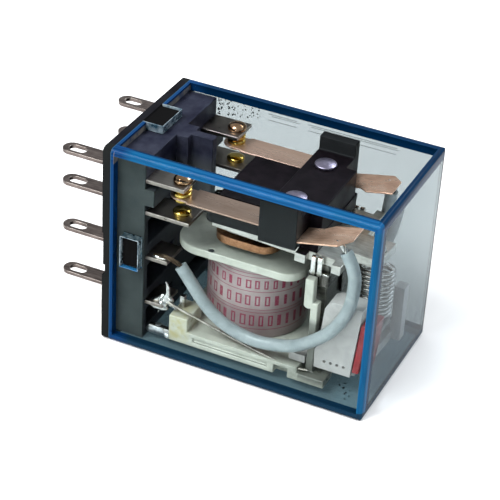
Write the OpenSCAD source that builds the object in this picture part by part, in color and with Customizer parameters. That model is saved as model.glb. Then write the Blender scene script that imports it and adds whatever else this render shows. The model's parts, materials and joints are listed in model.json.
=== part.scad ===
// Two-pole plug-in relay with a clear case.
// +X runs along the plug axis, away from the terminals. Y crosses the two poles. Z is up when the
// relay sits in a socket on a vertical panel. The origin is the middle of the base's socket face.

/* [Case] */
// Length of the clear case along the plug axis
case_len = 34.9; // [34:0.1:37]
// Width across the two poles
body_w = 21.5; // [21.3:0.1:22.5]
// Height of the broad sides
body_h = 28; // [28:0.1:29]
// Wall thickness of the clear case
wall = 1.05; // [0.8:0.05:1.1]
// Rounding of the case's outer edges
edge_r = 0.7; // [0.3:0.1:1]

/* [Base] */
// Thickness of the base flange that shows below the case
flange_t = 1.1; // [0.9:0.1:1.2]
// Depth of the base block inside the case
block_t = 4.2; // [4:0.1:4.2]
// Reach of the barrier between the two poles, from the base block
barrier_len = 4.5; // [3:0.1:5]

/* [Terminals] */
// Width of a blade
blade_w = 2.4; // [2.2:0.1:2.6]
// Thickness of a blade
blade_t = 0.5; // [0.4:0.05:0.5]
// Length of a blade below the base
blade_len = 7.45; // [6:0.05:8]
// Distance between the two columns of blades
pole_pitch = 14.2; // [14:0.1:14.4]

/* [Movement] */
// Angle that the armature turns from released to pulled in
stroke = 3; // [2:0.1:3]
// Diameter of the coil over its tape
coil_d = 13.1; // [12:0.1:13.2]
// Wire thickness of the return spring
spring_wire = 0.35; // [0.25:0.05:0.4]
// Number of turns in the return spring
spring_turns = 11; // [6:1:12]
// Outer diameter of the flexible leads
lead_d = 1.6; // [1.2:0.1:1.6]

/* [Hidden] */

FRONT = -1;
BACK = 1;
$fn = 48;
slip = 0.02;             // gap all round a piece that sits in a pocket

// case and base
case_x0 = flange_t;
case_x1 = flange_t + case_len;
in_w = body_w - 2 * wall;
in_h = body_h - 2 * wall;
block_x1 = flange_t + block_t;
barrier_x1 = block_x1 + barrier_len;
window_x = [2.6, 5];
window_h = 4.3;
notch_x1 = 3.8;
notch_w = 5;

// blade rows, by the height of each blade's middle
z_nc = 10.2;
z_no = 5.7;
z_com = -0.9;
z_coil = -7.5;
blade_y = pole_pitch / 2;
eye_x = 5.4;             // middle of the blade's oval hole, below the base
eye_len = 2.4;
eye_w = 1.3;

// fixed plates inside the case
plate_w = 4.2;
plate_y = 7.4;
nc_plate_x1 = 10.4;
no_plate_x1 = 11.2;
com_plate_x1 = 8.3;
coil_tag_x1 = 7.9;

// contacts
contact_x = 9.3;
contact_y = 7.5;
contact_r = 1.15;
nc_contact_z = 9.25;     // lower face of the normally-closed contact
no_contact_z = 6.62;     // upper face of the normally-open contact

// hinge line: the armature's lower face rolls on the yoke's upper edge
hinge_x = 27.5;
hinge_z = 3.55;

// moving springs
strip_z0 = 8.4;
strip_z1 = 8.6;
strip_y = [5.5, 9.2];
strip_end_x = 31.7;
tail_x0 = 25.2;          // the card's side walls end here and the tail comes out
tail_z = [7.5, 9];       // lower face of the tail, where it comes out and at its tip

// coil
coil_x = 16.8;
core_r = 3.4;
tube_r = 4.2;
winding_r = coil_d / 2 - 0.3;
tape_r = coil_d / 2;
coil_z = [-10.2, 0.2];
top_flange_x = [7.6, 25];
top_flange_w = 14.4;
flange_top_z = 1.3;
bobbin_w = 18.4;
bobbin_z0 = -12.1;
pole_size = [6.2, 9.8, 1.2]; // length, width and corner radius of the pole face
pole_z0 = 1.4;
ring_t = 1.2;            // width of the shading ring's bar
ring_z = [2.3, 3.4];

// yoke
yoke_w = 12;
yoke_t = 1.6;
yoke_leg_x = [26.7, 26.7 + yoke_t];
yoke_foot_z = [-12.8, -11.3];

// armature, given lying flat as when pulled in
arm_t = 1.2;
arm_w = 12;
arm_x = [12.6, 33];
ear_w = 14.4;

// card
card_x = [20.3, 26.7];
deck_z = 6.75;
card_top_z = 10.5;
card_wall_z = 12.3;
rivet_x = 22.8;
rivet_y = 4.5;

// return spring
spring_x = 32.3;
spring_y = -1;
spring_r = 1.7;
spring_z = [-4.7, 2.2];
anchor_z = [-6.5, -5.7];

// ---------- small tools ----------

module slab(x, y, z) {
    translate([x[0], y[0], z[0]]) cube([x[1] - x[0], y[1] - y[0], z[1] - z[0]]);
}

// A block centred on y = 0
module bar(x, w, z) {
    slab(x, [-w / 2, w / 2], z);
}

module rod(r, z, x, y) {
    translate([x, y, z[0]]) cylinder(r = r, h = z[1] - z[0]);
}

// The same piece on the front pole or, mirrored, on the back pole
module pole(side) {
    if (side == FRONT) children();
    else mirror([0, 1, 0]) children();
}

module rounded_rect(w, h, r) {
    square([w - 2 * r, h], center = true);
    square([w, h - 2 * r], center = true);
    for (sx = [-1, 1], sy = [-1, 1])
        translate([sx * (w / 2 - r), sy * (h / 2 - r)]) circle(r = r);
}

// A block with every edge rounded, between two corners
module soft_block(x, y, z, r) {
    size = [x[1] - x[0], y[1] - y[0], z[1] - z[0]];
    translate([x[0] + x[1], y[0] + y[1], z[0] + z[1]] / 2) intersection() {
        linear_extrude(size[2], center = true) rounded_rect(size[0], size[1], r);
        rotate([90, 0, 0]) linear_extrude(size[1], center = true) rounded_rect(size[0], size[2], r);
        rotate([0, 90, 0]) linear_extrude(size[0], center = true) rounded_rect(size[2], size[1], r);
    }
}

// A round dome: a spherical cap of the given height on a round foot, growing along +Z or -Z
module dome(x, y, z, r, rim, cap, up) {
    ball = (r * r + cap * cap) / (2 * cap);
    translate([x, y, z]) mirror([0, 0, up ? 0 : 1]) {
        cylinder(r = r, h = rim);
        translate([0, 0, rim]) intersection() {
            translate([0, 0, cap - ball]) sphere(r = ball);
            cylinder(r = r + 1, h = cap + 1);
        }
    }
}

// Turns a piece from pulled in to released, about the hinge line
module released() {
    translate([hinge_x, 0, hinge_z]) rotate([0, stroke, 0]) translate([-hinge_x, 0, -hinge_z])
        children();
}

function unit(v) = v / norm(v);

// Direction of a path at point i
function along(path, i) =
    unit(path[min(i + 1, len(path) - 1)] - path[max(i - 1, 0)]);

// One side direction per point of a path, carried along from n so that a tube never twists
function carried(path, n, i = 0) =
    i == len(path) ? [] : let (t = along(path, i), m = unit(n - (n * t) * t))
        concat([m], carried(path, m, i + 1));

// A round section swept along a path; start is any direction across the path's first step
module tube(path, r, start, sides) {
    count = len(path);
    normals = carried(path, start);
    rings = [for (i = [0:count - 1]) let (t = along(path, i), n = normals[i], b = cross(n, t))
        for (k = [0:sides - 1]) path[i] + r * (cos(360 * k / sides) * n + sin(360 * k / sides) * b)];
    walls = [for (i = [0:count - 2], k = [0:sides - 1]) let (j = (k + 1) % sides)
        [i * sides + k, i * sides + j, (i + 1) * sides + j, (i + 1) * sides + k]];
    first = [for (k = [sides - 1:-1:0]) k];
    last = [for (k = [0:sides - 1]) (count - 1) * sides + k];
    polyhedron(rings, concat(walls, [first, last]));
}

// Smooth curve through hand-picked points (Catmull-Rom), with steps points per span
function spline(p, steps) = [
    for (i = [1:len(p) - 3], s = [0:steps - 1]) spline_at(p, i, s / steps),
    p[len(p) - 2]];
function spline_at(p, i, u) =
    0.5 * (2 * p[i] + (p[i + 1] - p[i - 1]) * u
        + (2 * p[i - 1] - 5 * p[i] + 4 * p[i + 1] - p[i + 2]) * u * u
        + (3 * p[i] - p[i - 1] - 3 * p[i + 1] + p[i + 2]) * u * u * u);

// ---------- case and base ----------

module case() color("lightsteelblue", 0.4) difference() {
    soft_block([case_x0 - edge_r, case_x1], [-body_w / 2, body_w / 2], [-body_h / 2, body_h / 2], edge_r);
    bar([case_x0 - 2 * edge_r, case_x0], body_w + 1, [-body_h, body_h]);
    bar([case_x0 - 1, case_x1 - wall], in_w, [-in_h / 2, in_h / 2]);
    bar(window_x, body_w + 1, [-window_h / 2, window_h / 2]);
    bar([case_x0 - 1, notch_x1], notch_w, [-body_h, body_h]);
}

module blade_slots() {
    for (side = [-1, 1], z = [z_nc, z_no, z_com, z_coil])
        translate([0, side * blade_y, z])
            cube([4 * block_x1, blade_w + 2 * slip, blade_t + 2 * slip], center = true);
}

module base() color("dimgray") difference() {
    union() {
        rotate([0, 90, 0]) linear_extrude(flange_t) rounded_rect(body_h, body_w, edge_r);
        bar([0, block_x1], in_w - 0.2, [-in_h / 2 + 0.1, in_h / 2 - 0.1]);
        // keys in the rim notches, and latch nubs in the windows
        bar([0, notch_x1 - 0.15], notch_w - 0.3, [-body_h / 2 + 0.15, body_h / 2 - 0.15]);
        bar([window_x[0] + 0.15, window_x[1] - 0.15], body_w - 0.7,
            [-window_h / 2 + 0.15, window_h / 2 - 0.15]);
        // barrier between the poles, with a foot rib on each side
        bar([0, barrier_x1], 1.2, [2.2, in_h / 2 - 0.1]);
        bar([0, block_x1 + 1.6], 3.2, [7, in_h / 2 - 0.1]);
        // shelf between the two fixed plates of each pole
        for (side = [-1, 1]) pole(side)
            slab([0, block_x1 + 1.2], [-in_w / 2 + 0.1, -4.6], [z_no + 1.1, z_nc - 1.1]);
    }
    blade_slots();
    // socket face: a shallow tray with a rib across, and pockets round the blades
    for (z = [[-12.2, -4.6], [-3.8, 2], [2.8, 12.2]]) difference() {
        bar([-1, 0.35], 8, z);
        bar([-2, 1], 1.2, z);
    }
    // a shallow step and a small nick in the flange's long edges
    for (side = [-1, 1]) pole(side) {
        slab([-1, 0.15], [-body_w, -body_w / 2 + 0.9], [-3, 1.9]);
        slab([-1, 0.4], [-body_w, -body_w / 2 + 1.3], [-4.2, -2.7]);
    }
    // inner side: the block is cored out between the rows
    for (side = [-1, 1], z = [[-11.5, -9], [-6, -2.4], [0.6, 4.2]]) pole(side)
        slab([block_x1 - 2.6, block_x1 + 1], [-in_w / 2 + 1.1, -1.4], z);
}

// ---------- terminals and fixed contacts ----------

// One blade with its oval hole, seen from above, middle line along X
module blade_outline(x1) {
    difference() {
        union() {
            translate([-blade_len + blade_w / 2, -blade_w / 2]) square([blade_len - blade_w / 2 + x1, blade_w]);
            translate([-blade_len + blade_w / 2, 0]) circle(r = blade_w / 2);
        }
        for (s = [-1, 1]) translate([-eye_x + s * (eye_len - eye_w) / 2, 0]) circle(r = eye_w / 2);
        translate([-eye_x, 0]) square([eye_len - eye_w, eye_w], center = true);
    }
}

// A blade that widens into a plate inside the case
module terminal(side, z, plate_x1, plate_mid, hole_r) color("silver") pole(side) difference() {
    translate([0, 0, z - blade_t / 2]) linear_extrude(blade_t) {
        translate([0, -blade_y]) blade_outline(block_x1);
        translate([block_x1, -plate_mid - plate_w / 2]) square([plate_x1 - block_x1, plate_w]);
    }
    if (hole_r > 0) rod(hole_r, [z - 1, z + 1], contact_x, -contact_y);
}

module terminal_nc(side) terminal(side, z_nc, nc_plate_x1, plate_y, 0.7 + slip);
module terminal_no(side) terminal(side, z_no, no_plate_x1, plate_y, 0.7 + slip);
module terminal_com(side) terminal(side, z_com, com_plate_x1, blade_y, 0);
module terminal_coil(side) terminal(side, z_coil, coil_tag_x1, blade_y, 0);

// Rivet through a fixed plate: the contact on one side, a formed head on the other
module contact_nc(side) color("gold") pole(side) {
    plate = [z_nc - blade_t / 2, z_nc + blade_t / 2];
    rod(0.7, plate, contact_x, -contact_y);
    rod(contact_r, [nc_contact_z, plate[0]], contact_x, -contact_y);
    dome(contact_x, -contact_y, plate[1], 1.3, 0.15, 0.45, true);
}

module contact_no(side) color("gold") pole(side) {
    plate = [z_no - blade_t / 2, z_no + blade_t / 2];
    rod(0.7, plate, contact_x, -contact_y);
    dome(contact_x, -contact_y, plate[1], contact_r, no_contact_z - plate[1] - 0.2, 0.2, true);
    dome(contact_x, -contact_y, plate[0], 1.1, 0.1, 0.3, false);
}

// ---------- magnet ----------

module yoke() color("slategray") difference() {
    union() {
        bar([10.6, yoke_leg_x[1]], yoke_w, yoke_foot_z);
        bar(yoke_leg_x, yoke_w, [yoke_foot_z[0], hinge_z - 0.08]);
        slab([yoke_leg_x[0], 33.6], [-2.4, 0.4], anchor_z);
    }
    rod(core_r + slip, [-20, 0], coil_x, 0);
    rod(0.45, [-20, 0], spring_x, spring_y);
}

// A block over the coil's middle with rounded corners: the pole face and what fits round it
module pole_block(grow, z) {
    translate([coil_x, 0, z[0]]) linear_extrude(z[1] - z[0])
        rounded_rect(pole_size[0] + 2 * grow, pole_size[1] + 2 * grow, pole_size[2] + grow);
}

module core() color("gray") difference() {
    union() {
        rod(core_r, [yoke_foot_z[0], pole_z0 + 0.1], coil_x, 0);
        pole_block(0, [pole_z0, hinge_z - 0.06]);
    }
    // slot across the pole face for the straight side of the shading ring
    slab([0, 40], [-slip, ring_t + slip], [ring_z[0] - slip, 5]);
}

module shading_ring() color("peru") {
    difference() {
        intersection() {
            pole_block(ring_t, ring_z);
            slab([0, 40], [-10, ring_t], ring_z);
        }
        difference() {
            pole_block(slip, [0, 5]);
            slab([0, 40], [0, 10], [-1, 6]);
        }
    }
}

// Outline centred on y = 0, with its corners rounded: r0 at the contact end, r1 at the hinge end
module flange_outline(x, w, r0, r1) {
    translate([x[0] + r0, -w / 2]) square([x[1] - x[0] - r0 - r1, w]);
    for (end = [[x[0], r0, 0], [x[1], r1, 1]]) if (end[1] > 0) {
        mid = end[0] + (end[2] == 0 ? end[1] : -end[1]);
        translate([min(end[0], mid), -w / 2 + end[1]]) square([end[1], w - 2 * end[1]]);
        for (s = [-1, 1]) translate([mid, s * (w / 2 - end[1])]) circle(r = end[1]);
    }
}

module bobbin() color("lavender") difference() {
    union() {
        translate([0, 0, coil_z[1]]) linear_extrude(flange_top_z - coil_z[1])
            flange_outline(top_flange_x, top_flange_w, 3.6, 2.6);
        rod(tube_r, [coil_z[0] - 0.5, flange_top_z], coil_x, 0);
        bar([8.8, 26.5], bobbin_w, [bobbin_z0, coil_z[0]]);
        for (s = [-1, 1]) pole(s) {
            // end block for the pins, bracket under the indicator, and the post beside the yoke
            slab([8.8, 11.4], [-bobbin_w / 2, -5], [bobbin_z0, -8.3]);
            slab([25, 30.1], [-bobbin_w / 2, -6.3], [bobbin_z0, -11]);
            slab([26.2, 27.4], [-8, -6.8], [-1.4, 2.2]);
            translate([26.8, -6.8, -1.4]) rotate([90, 0, 0]) cylinder(r = 0.6, h = 1.2);
            slab([27.1, 28.1], [-8, -6.8], [bobbin_z0 + 0.1, -1]);
        }
    }
    rod(core_r + slip, [-20, 5], coil_x, 0);
    bar([0, 40], yoke_w + 0.3, [-20, yoke_foot_z[1] + slip]);
    rod(0.35, [-5, 5], 13.1, -6.65);
    // notches in both edges of the lower flange, and a long recess that leaves a lip along it
    for (s = [-1, 1]) pole(s) {
        slab([23.4, 25.2], [-10, -8.2], [-20, -10.8]);
        slab([12.2, 22.4], [-10, -8.9], [-11.4, -10.7]);
    }
}

module coil_winding() color("chocolate") difference() {
    rod(winding_r, [coil_z[0] + 0.05, coil_z[1] - 0.05], coil_x, 0);
    rod(tube_r + slip, [-20, 5], coil_x, 0);
}

module coil_tape() color("mistyrose") difference() {
    rod(tape_r, [coil_z[0] + 0.1, coil_z[1] - 0.1], coil_x, 0);
    rod(winding_r + slip, [-20, 5], coil_x, 0);
}

// Square pins pressed into the bobbin's end block; each coil blade is soldered to one
module coil_pins() color("gainsboro") for (side = [-1, 1]) pole(side) {
    slab([5.9, 8.8], [-8.9, -8.3], [-11.5, -10.9]);
    slab([9.2, 9.8], [-7, -6.4], [-8.3, -6.6]);
}

// Spring clip that holds the armature down on the yoke's edge
module hinge_clip() color("whitesmoke") {
    slab([yoke_leg_x[1] + 0.02, yoke_leg_x[1] + 0.32], [-6.65, 6.65], [0.8, 2.6]);
    bar([yoke_leg_x[1] + 0.02, yoke_leg_x[1] + 0.32], 3.6, [-2.5, 1]);
    for (side = [-1, 1]) pole(side) {
        slab([26, yoke_leg_x[1] + 0.32], [-6.65, -6.2], [0.8, 2.6]);
        for (x = [26.3, 27.15]) {
            slab([x, x + 0.6], [-6.9, -6.2], [2.2, 4.5]);
            translate([x, -6.55, 4.5]) rotate([0, 90, 0]) cylinder(r = 0.35, h = 0.6);
        }
    }
}

// ---------- armature and what it carries ----------

module armature() color("darkgray") difference() {
    released() difference() {
        union() {
            bar([arm_x[0], 30.2], arm_w, [hinge_z, hinge_z + arm_t]);
            bar([24.2, 25.6], ear_w, [hinge_z, hinge_z + arm_t]);
            bar([29, 30.2], ear_w, [hinge_z, hinge_z + arm_t]);
            slab([29.5, arm_x[1]], [-3.4, 1.4], [hinge_z, hinge_z + arm_t]);
        }
        rod(0.45, [0, 9], spring_x, spring_y);
    }
    for (s = [-1, 1]) rod(0.95, [0, 9], rivet_x, s * rivet_y);
}

module contact_card() color("#2a2a2c") difference() {
    union() {
        // deck under the springs, rounded at the contact end, and the rib between them
        translate([0, 0, deck_z]) linear_extrude(strip_z0 - deck_z)
            flange_outline([12.8, tail_x0], 17.8, 1.2, 0);
        bar([13.1, card_x[1]], 2 * strip_y[0] - 0.4, [deck_z, strip_z1 + 0.1]);
        released() bar([13.6, 26.6], arm_w, [hinge_z + arm_t + slip, 7]);
        // clamp block over the springs, with a raised wall at each end
        bar(card_x, 2 * strip_y[0] - 0.4, [deck_z, card_top_z]);
        bar([card_x[0], tail_x0], 19, [6.6, card_top_z]);
        for (s = [-1, 1]) pole(s)
            slab([card_x[0], tail_x0], [-9.5, -8.1], [6.6, card_wall_z]);
    }
    for (s = [-1, 1]) pole(s) {
        translate([0, -strip_y[0] + slip, 0]) rotate([90, 0, 0])
            linear_extrude(strip_y[1] - strip_y[0] + 2 * slip) strip_side(slip);
        rod(0.9 + slip, [0, 20], rivet_x, -rivet_y);
    }
}

// Rivet through the card and the armature, with a flat formed head underneath
module card_rivet(side) color("silver") pole(side) {
    dome(rivet_x, -rivet_y, card_top_z, 1.4, 0.35, 0.3, true);
    rod(0.9, [3.9, card_top_z], rivet_x, -rivet_y);
}

// Strip seen from above: narrow round end at the contact, flared tail at the other end
module strip_outline() {
    mid = (strip_y[0] + strip_y[1]) / 2;
    w = strip_y[1] - strip_y[0];
    translate([10.6, -strip_y[1]]) square([16.6, w]);
    translate([contact_x, -mid - w / 2 + 0.3]) square([1.4, w - 0.6]);
    translate([contact_x, -mid]) circle(r = w / 2 - 0.3);
    polygon([[27, -strip_y[1]], [30.3, -strip_y[1]], [strip_end_x, -strip_y[1] + 1.5],
             [strip_end_x, -4.6], [28.3, -4.6], [27.2, -strip_y[0]], [27, -strip_y[0]]]);
}

// Strip seen from the side, grown by g above and below: flat up to the card, then down inside it
// and up again to the tip of the tail
module strip_side(g) {
    dip = [22.4, tail_x0 - 0.4];
    over = 40;
    rise = (tail_z[1] - tail_z[0]) / (strip_end_x - dip[1]);
    low = tail_z[0] - g;
    t = strip_z1 - strip_z0 + 2 * g;
    polygon([[0, strip_z0 - g], [dip[0], strip_z0 - g], [dip[1], low], [over, low + rise * (over - dip[1])],
             [over, low + t + rise * (over - dip[1])], [dip[1] + t / 4, low + t],
             [dip[0] + t / 4, strip_z1 + g], [0, strip_z1 + g]]);
}

module moving_spring(side) color("sandybrown") pole(side) difference() {
    intersection() {
        linear_extrude(20) strip_outline();
        rotate([90, 0, 0]) linear_extrude(20) strip_side(0);
    }
    rod(0.6 + slip, [0, 20], contact_x, -contact_y);
}

module moving_contact(side) color("gold") pole(side) {
    rod(0.6, [strip_z0, strip_z1], contact_x, -contact_y);
    dome(contact_x, -contact_y, strip_z1, contact_r, 0.41, 0.2, true);
    dome(contact_x, -contact_y, strip_z0, contact_r, 0.5, 0.2, false);
}

// ---------- spring, leads, joints ----------

// A point on the spring at angle a; past either end, by up to tuck degrees, it runs in to the axis
tuck = 180;
spring_a1 = 360 * spring_turns;
function past_end(a) = a < 0 ? -a / tuck : a > spring_a1 ? (a - spring_a1) / tuck : 0;
function coil_point(a) = let (p = past_end(a), out = spring_r * (1 - p * p), step = a < 0 ? -0.5 : 0.5) [
    spring_x + out * cos(a),
    spring_y + out * sin(a),
    spring_z[0] + (spring_z[1] - spring_z[0]) * min(max(a, 0), spring_a1) / spring_a1 + step * p * p];

module return_spring() color("gainsboro") {
    turns = [for (a = [-tuck:22.5:spring_a1 + tuck]) coil_point(a)];
    foot = [spring_x, spring_y, anchor_z[0] - 0.15];
    head = [spring_x, spring_y, hinge_z + arm_t - 0.1];
    tube(concat([foot, [spring_x, spring_y, spring_z[0] - 0.9]], turns,
        [[spring_x, spring_y, spring_z[1] + 0.9], head]), spring_wire / 2, [0, 1, 0], 8);
}

// The flexible leads' routes from the common blade to the spring's tail, both given on the front
// pole; the back lead hangs in a tighter bow
lead_start = [[7.4, -8.85, 0.4], [9.2, -8.85, -0.3], [10.2, -8.85, -1], [13.6, -8.85, -5.3],
              [16.5, -8.85, -7.4], [20, -8.85, -8.3]];
wide_bow = [[23.4, -8.85, -8], [26.6, -8.85, -6.8], [30.2, -8.85, -3.7], [32.2, -8.8, 0],
            [32.7, -8.7, 3.6], [32.3, -8.5, 5.8], [31, -8.3, 8], [29.4, -8, 10]];
tight_bow = [[22.8, -8.85, -7.7], [25.4, -8.85, -6.2], [28, -8.85, -3.4], [29.3, -8.8, 0],
             [29.9, -8.7, 3.2], [30.2, -8.5, 5.6], [30.4, -8.3, 8], [30.5, -8, 10]];

module flexible_lead(side) color("aliceblue") pole(side)
    tube(spline(concat(lead_start, side == FRONT ? wide_bow : tight_bow), 4), lead_d / 2, [0, 1, 0], 12);

// Bare, tinned end of the lead on the common blade's plate
module lead_joint(side) color("gainsboro") pole(side) {
    translate([6.9, -8.85, -0.2]) rotate([0, 90, 0]) cylinder(r = 0.4, h = 2.3);
    rod(0.7, [z_com + blade_t / 2, -0.35], 7.4, -8.35);
}

module coil_joint(side) color("gainsboro") pole(side)
    dome(7.1, -8.2, z_coil + blade_t / 2, 0.8, 0.1, 0.7, true);

// ---------- indicator ----------

module indicator_holder() color("white") difference() {
    union() {
        rotate([90, 0, 0]) translate([0, 0, 5.2]) linear_extrude(2.75)
            polygon([[28.1, -10.1], [28.1, -7.5], [28.5, -6.8], [29, -1.2], [29.4, -0.4], [30.2, 0],
                     [33.87, 0], [32.95, -10.1]]);
        slab([24.8, 33], [-7.95, -6.3], [-10.1, -9]);
        slab([28.9, 33], [-6.4, 5.4], [-10.9, -9.6]);
        slab([32.7, 34.2], [3.2, 4.8], [-10.9, -3]);
    }
    // room for the yoke and for the bobbin's post, a hollow for the lamp that is open towards the
    // coil, and a row of small vent holes
    slab([20, 28.4], [-6.1, 0], [-20, 5]);
    slab([26.95, 28.15], [-10, -6.75], [-20, -8.9]);
    slab([29.9, 32.2], [-7.2, -5], [-8.8, -1.2]);
    for (i = [0:3]) translate([29.5 + 0.85 * i, -7, -8.9]) rotate([90, 0, 0]) cylinder(r = 0.18, h = 2);
}

module indicator_lens() color("firebrick")
    rotate([90, 0, 0]) translate([0, 0, 4.4]) linear_extrude(3.4)
        polygon([[33.08, -9.4], [33.74, -2.2], [34.6, -2.2], [33.94, -9.4]]);

module indicator_wire() color("gainsboro")
    tube([[7.6, -8.5, -6.7], [8.6, -8.5, -6.9], [21.4, -8.5, -9.86], [25, -8.6, -9.9],
          [28.6, -8.5, -9.9]], 0.22, [0, 1, 0], 8);

module resistor() color("tan") translate([31, -3.6, -12]) {
    rotate([-90, 0, 0]) rotate_extrude() polygon([[0, 0], [0.7, 0], [0.85, 0.3], [0.85, 1.2], [0.7, 1.5],
        [0.7, 4.3], [0.85, 4.6], [0.85, 5.5], [0.7, 5.8], [0, 5.8]]);
}

case();
base();
terminal_nc(FRONT);  // terminal_nc_front
terminal_nc(BACK);  // terminal_nc_back
terminal_no(FRONT);  // terminal_no_front
terminal_no(BACK);  // terminal_no_back
terminal_com(FRONT);  // terminal_com_front
terminal_com(BACK);  // terminal_com_back
terminal_coil(FRONT);  // terminal_coil_front
terminal_coil(BACK);  // terminal_coil_back
contact_nc(FRONT);  // contact_nc_front
contact_nc(BACK);  // contact_nc_back
contact_no(FRONT);  // contact_no_front
contact_no(BACK);  // contact_no_back
yoke();
core();
shading_ring();
bobbin();
coil_winding();
coil_tape();
coil_pins();
hinge_clip();
armature();
contact_card();
card_rivet(FRONT);  // card_rivet_front
card_rivet(BACK);  // card_rivet_back
moving_spring(FRONT);  // moving_spring_front
moving_spring(BACK);  // moving_spring_back
moving_contact(FRONT);  // moving_contact_front
moving_contact(BACK);  // moving_contact_back
return_spring();
flexible_lead(FRONT);  // flexible_lead_front
flexible_lead(BACK);  // flexible_lead_back
lead_joint(FRONT);  // lead_joint_front
lead_joint(BACK);  // lead_joint_back
coil_joint(FRONT);  // coil_joint_front
indicator_holder();
indicator_lens();
indicator_wire();
resistor();
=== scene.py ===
"""Two-pole plug-in relay with a clear case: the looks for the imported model, in metres."""
import json
import math
import random

import bmesh
import bpy
from mathutils import Matrix, Vector


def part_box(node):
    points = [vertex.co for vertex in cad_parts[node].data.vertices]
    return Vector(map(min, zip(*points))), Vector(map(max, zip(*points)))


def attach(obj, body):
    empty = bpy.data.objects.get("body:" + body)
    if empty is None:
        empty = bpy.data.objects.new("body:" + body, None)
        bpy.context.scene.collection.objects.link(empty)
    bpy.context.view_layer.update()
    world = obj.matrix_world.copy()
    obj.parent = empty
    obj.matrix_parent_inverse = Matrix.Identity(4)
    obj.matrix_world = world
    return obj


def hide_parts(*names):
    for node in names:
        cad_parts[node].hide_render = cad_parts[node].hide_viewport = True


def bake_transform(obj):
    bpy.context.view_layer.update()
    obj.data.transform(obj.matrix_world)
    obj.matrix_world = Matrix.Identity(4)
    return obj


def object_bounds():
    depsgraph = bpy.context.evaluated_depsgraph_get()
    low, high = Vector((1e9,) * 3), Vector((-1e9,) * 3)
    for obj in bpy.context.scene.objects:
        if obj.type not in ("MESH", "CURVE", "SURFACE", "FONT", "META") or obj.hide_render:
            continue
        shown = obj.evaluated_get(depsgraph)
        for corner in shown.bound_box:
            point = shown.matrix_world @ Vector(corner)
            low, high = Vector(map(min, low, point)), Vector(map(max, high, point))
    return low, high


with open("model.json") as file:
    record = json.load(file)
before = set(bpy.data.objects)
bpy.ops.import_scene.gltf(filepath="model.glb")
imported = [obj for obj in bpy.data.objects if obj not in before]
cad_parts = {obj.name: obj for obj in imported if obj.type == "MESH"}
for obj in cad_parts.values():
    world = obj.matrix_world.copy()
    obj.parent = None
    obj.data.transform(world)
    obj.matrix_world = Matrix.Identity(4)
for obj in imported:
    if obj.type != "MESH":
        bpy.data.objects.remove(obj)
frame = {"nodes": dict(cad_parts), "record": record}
cad_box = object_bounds()

MM = 0.001
NODES = frame["nodes"]
SLOT = {row["node"]: row["material_slot"] for row in frame["record"]["subparts"]}
BODY = {n: b for b, ns in frame["record"]["behaviour"]["bodies"].items() for n in ns}
scene = bpy.context.scene
rng = random.Random(7)
case_lo, case_hi = (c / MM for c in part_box("case"))

# sizes in millimetres that looks and shapes share
COIL_X = 16.8  # the coil's axis
TAPE_R = 6.55  # the outside of the coil's tape
WALL = 1.05  # the case's walls
RIM = 0.45  # from the case's open end to its clear walls
LATCH_X, LATCH_Z = (2.5, 5.1), (-2.25, 2.25)  # the latch windows, cut a little larger
NOTCH_X, NOTCH_Y = (0, 3.88), (-2.62, 2.62)  # the rim notches, cut a little larger


def P(x, y, z):
    """A point given in millimetres."""
    return Vector((x, y, z)) * MM


# ---------------------------------------------------------------- materials

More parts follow.
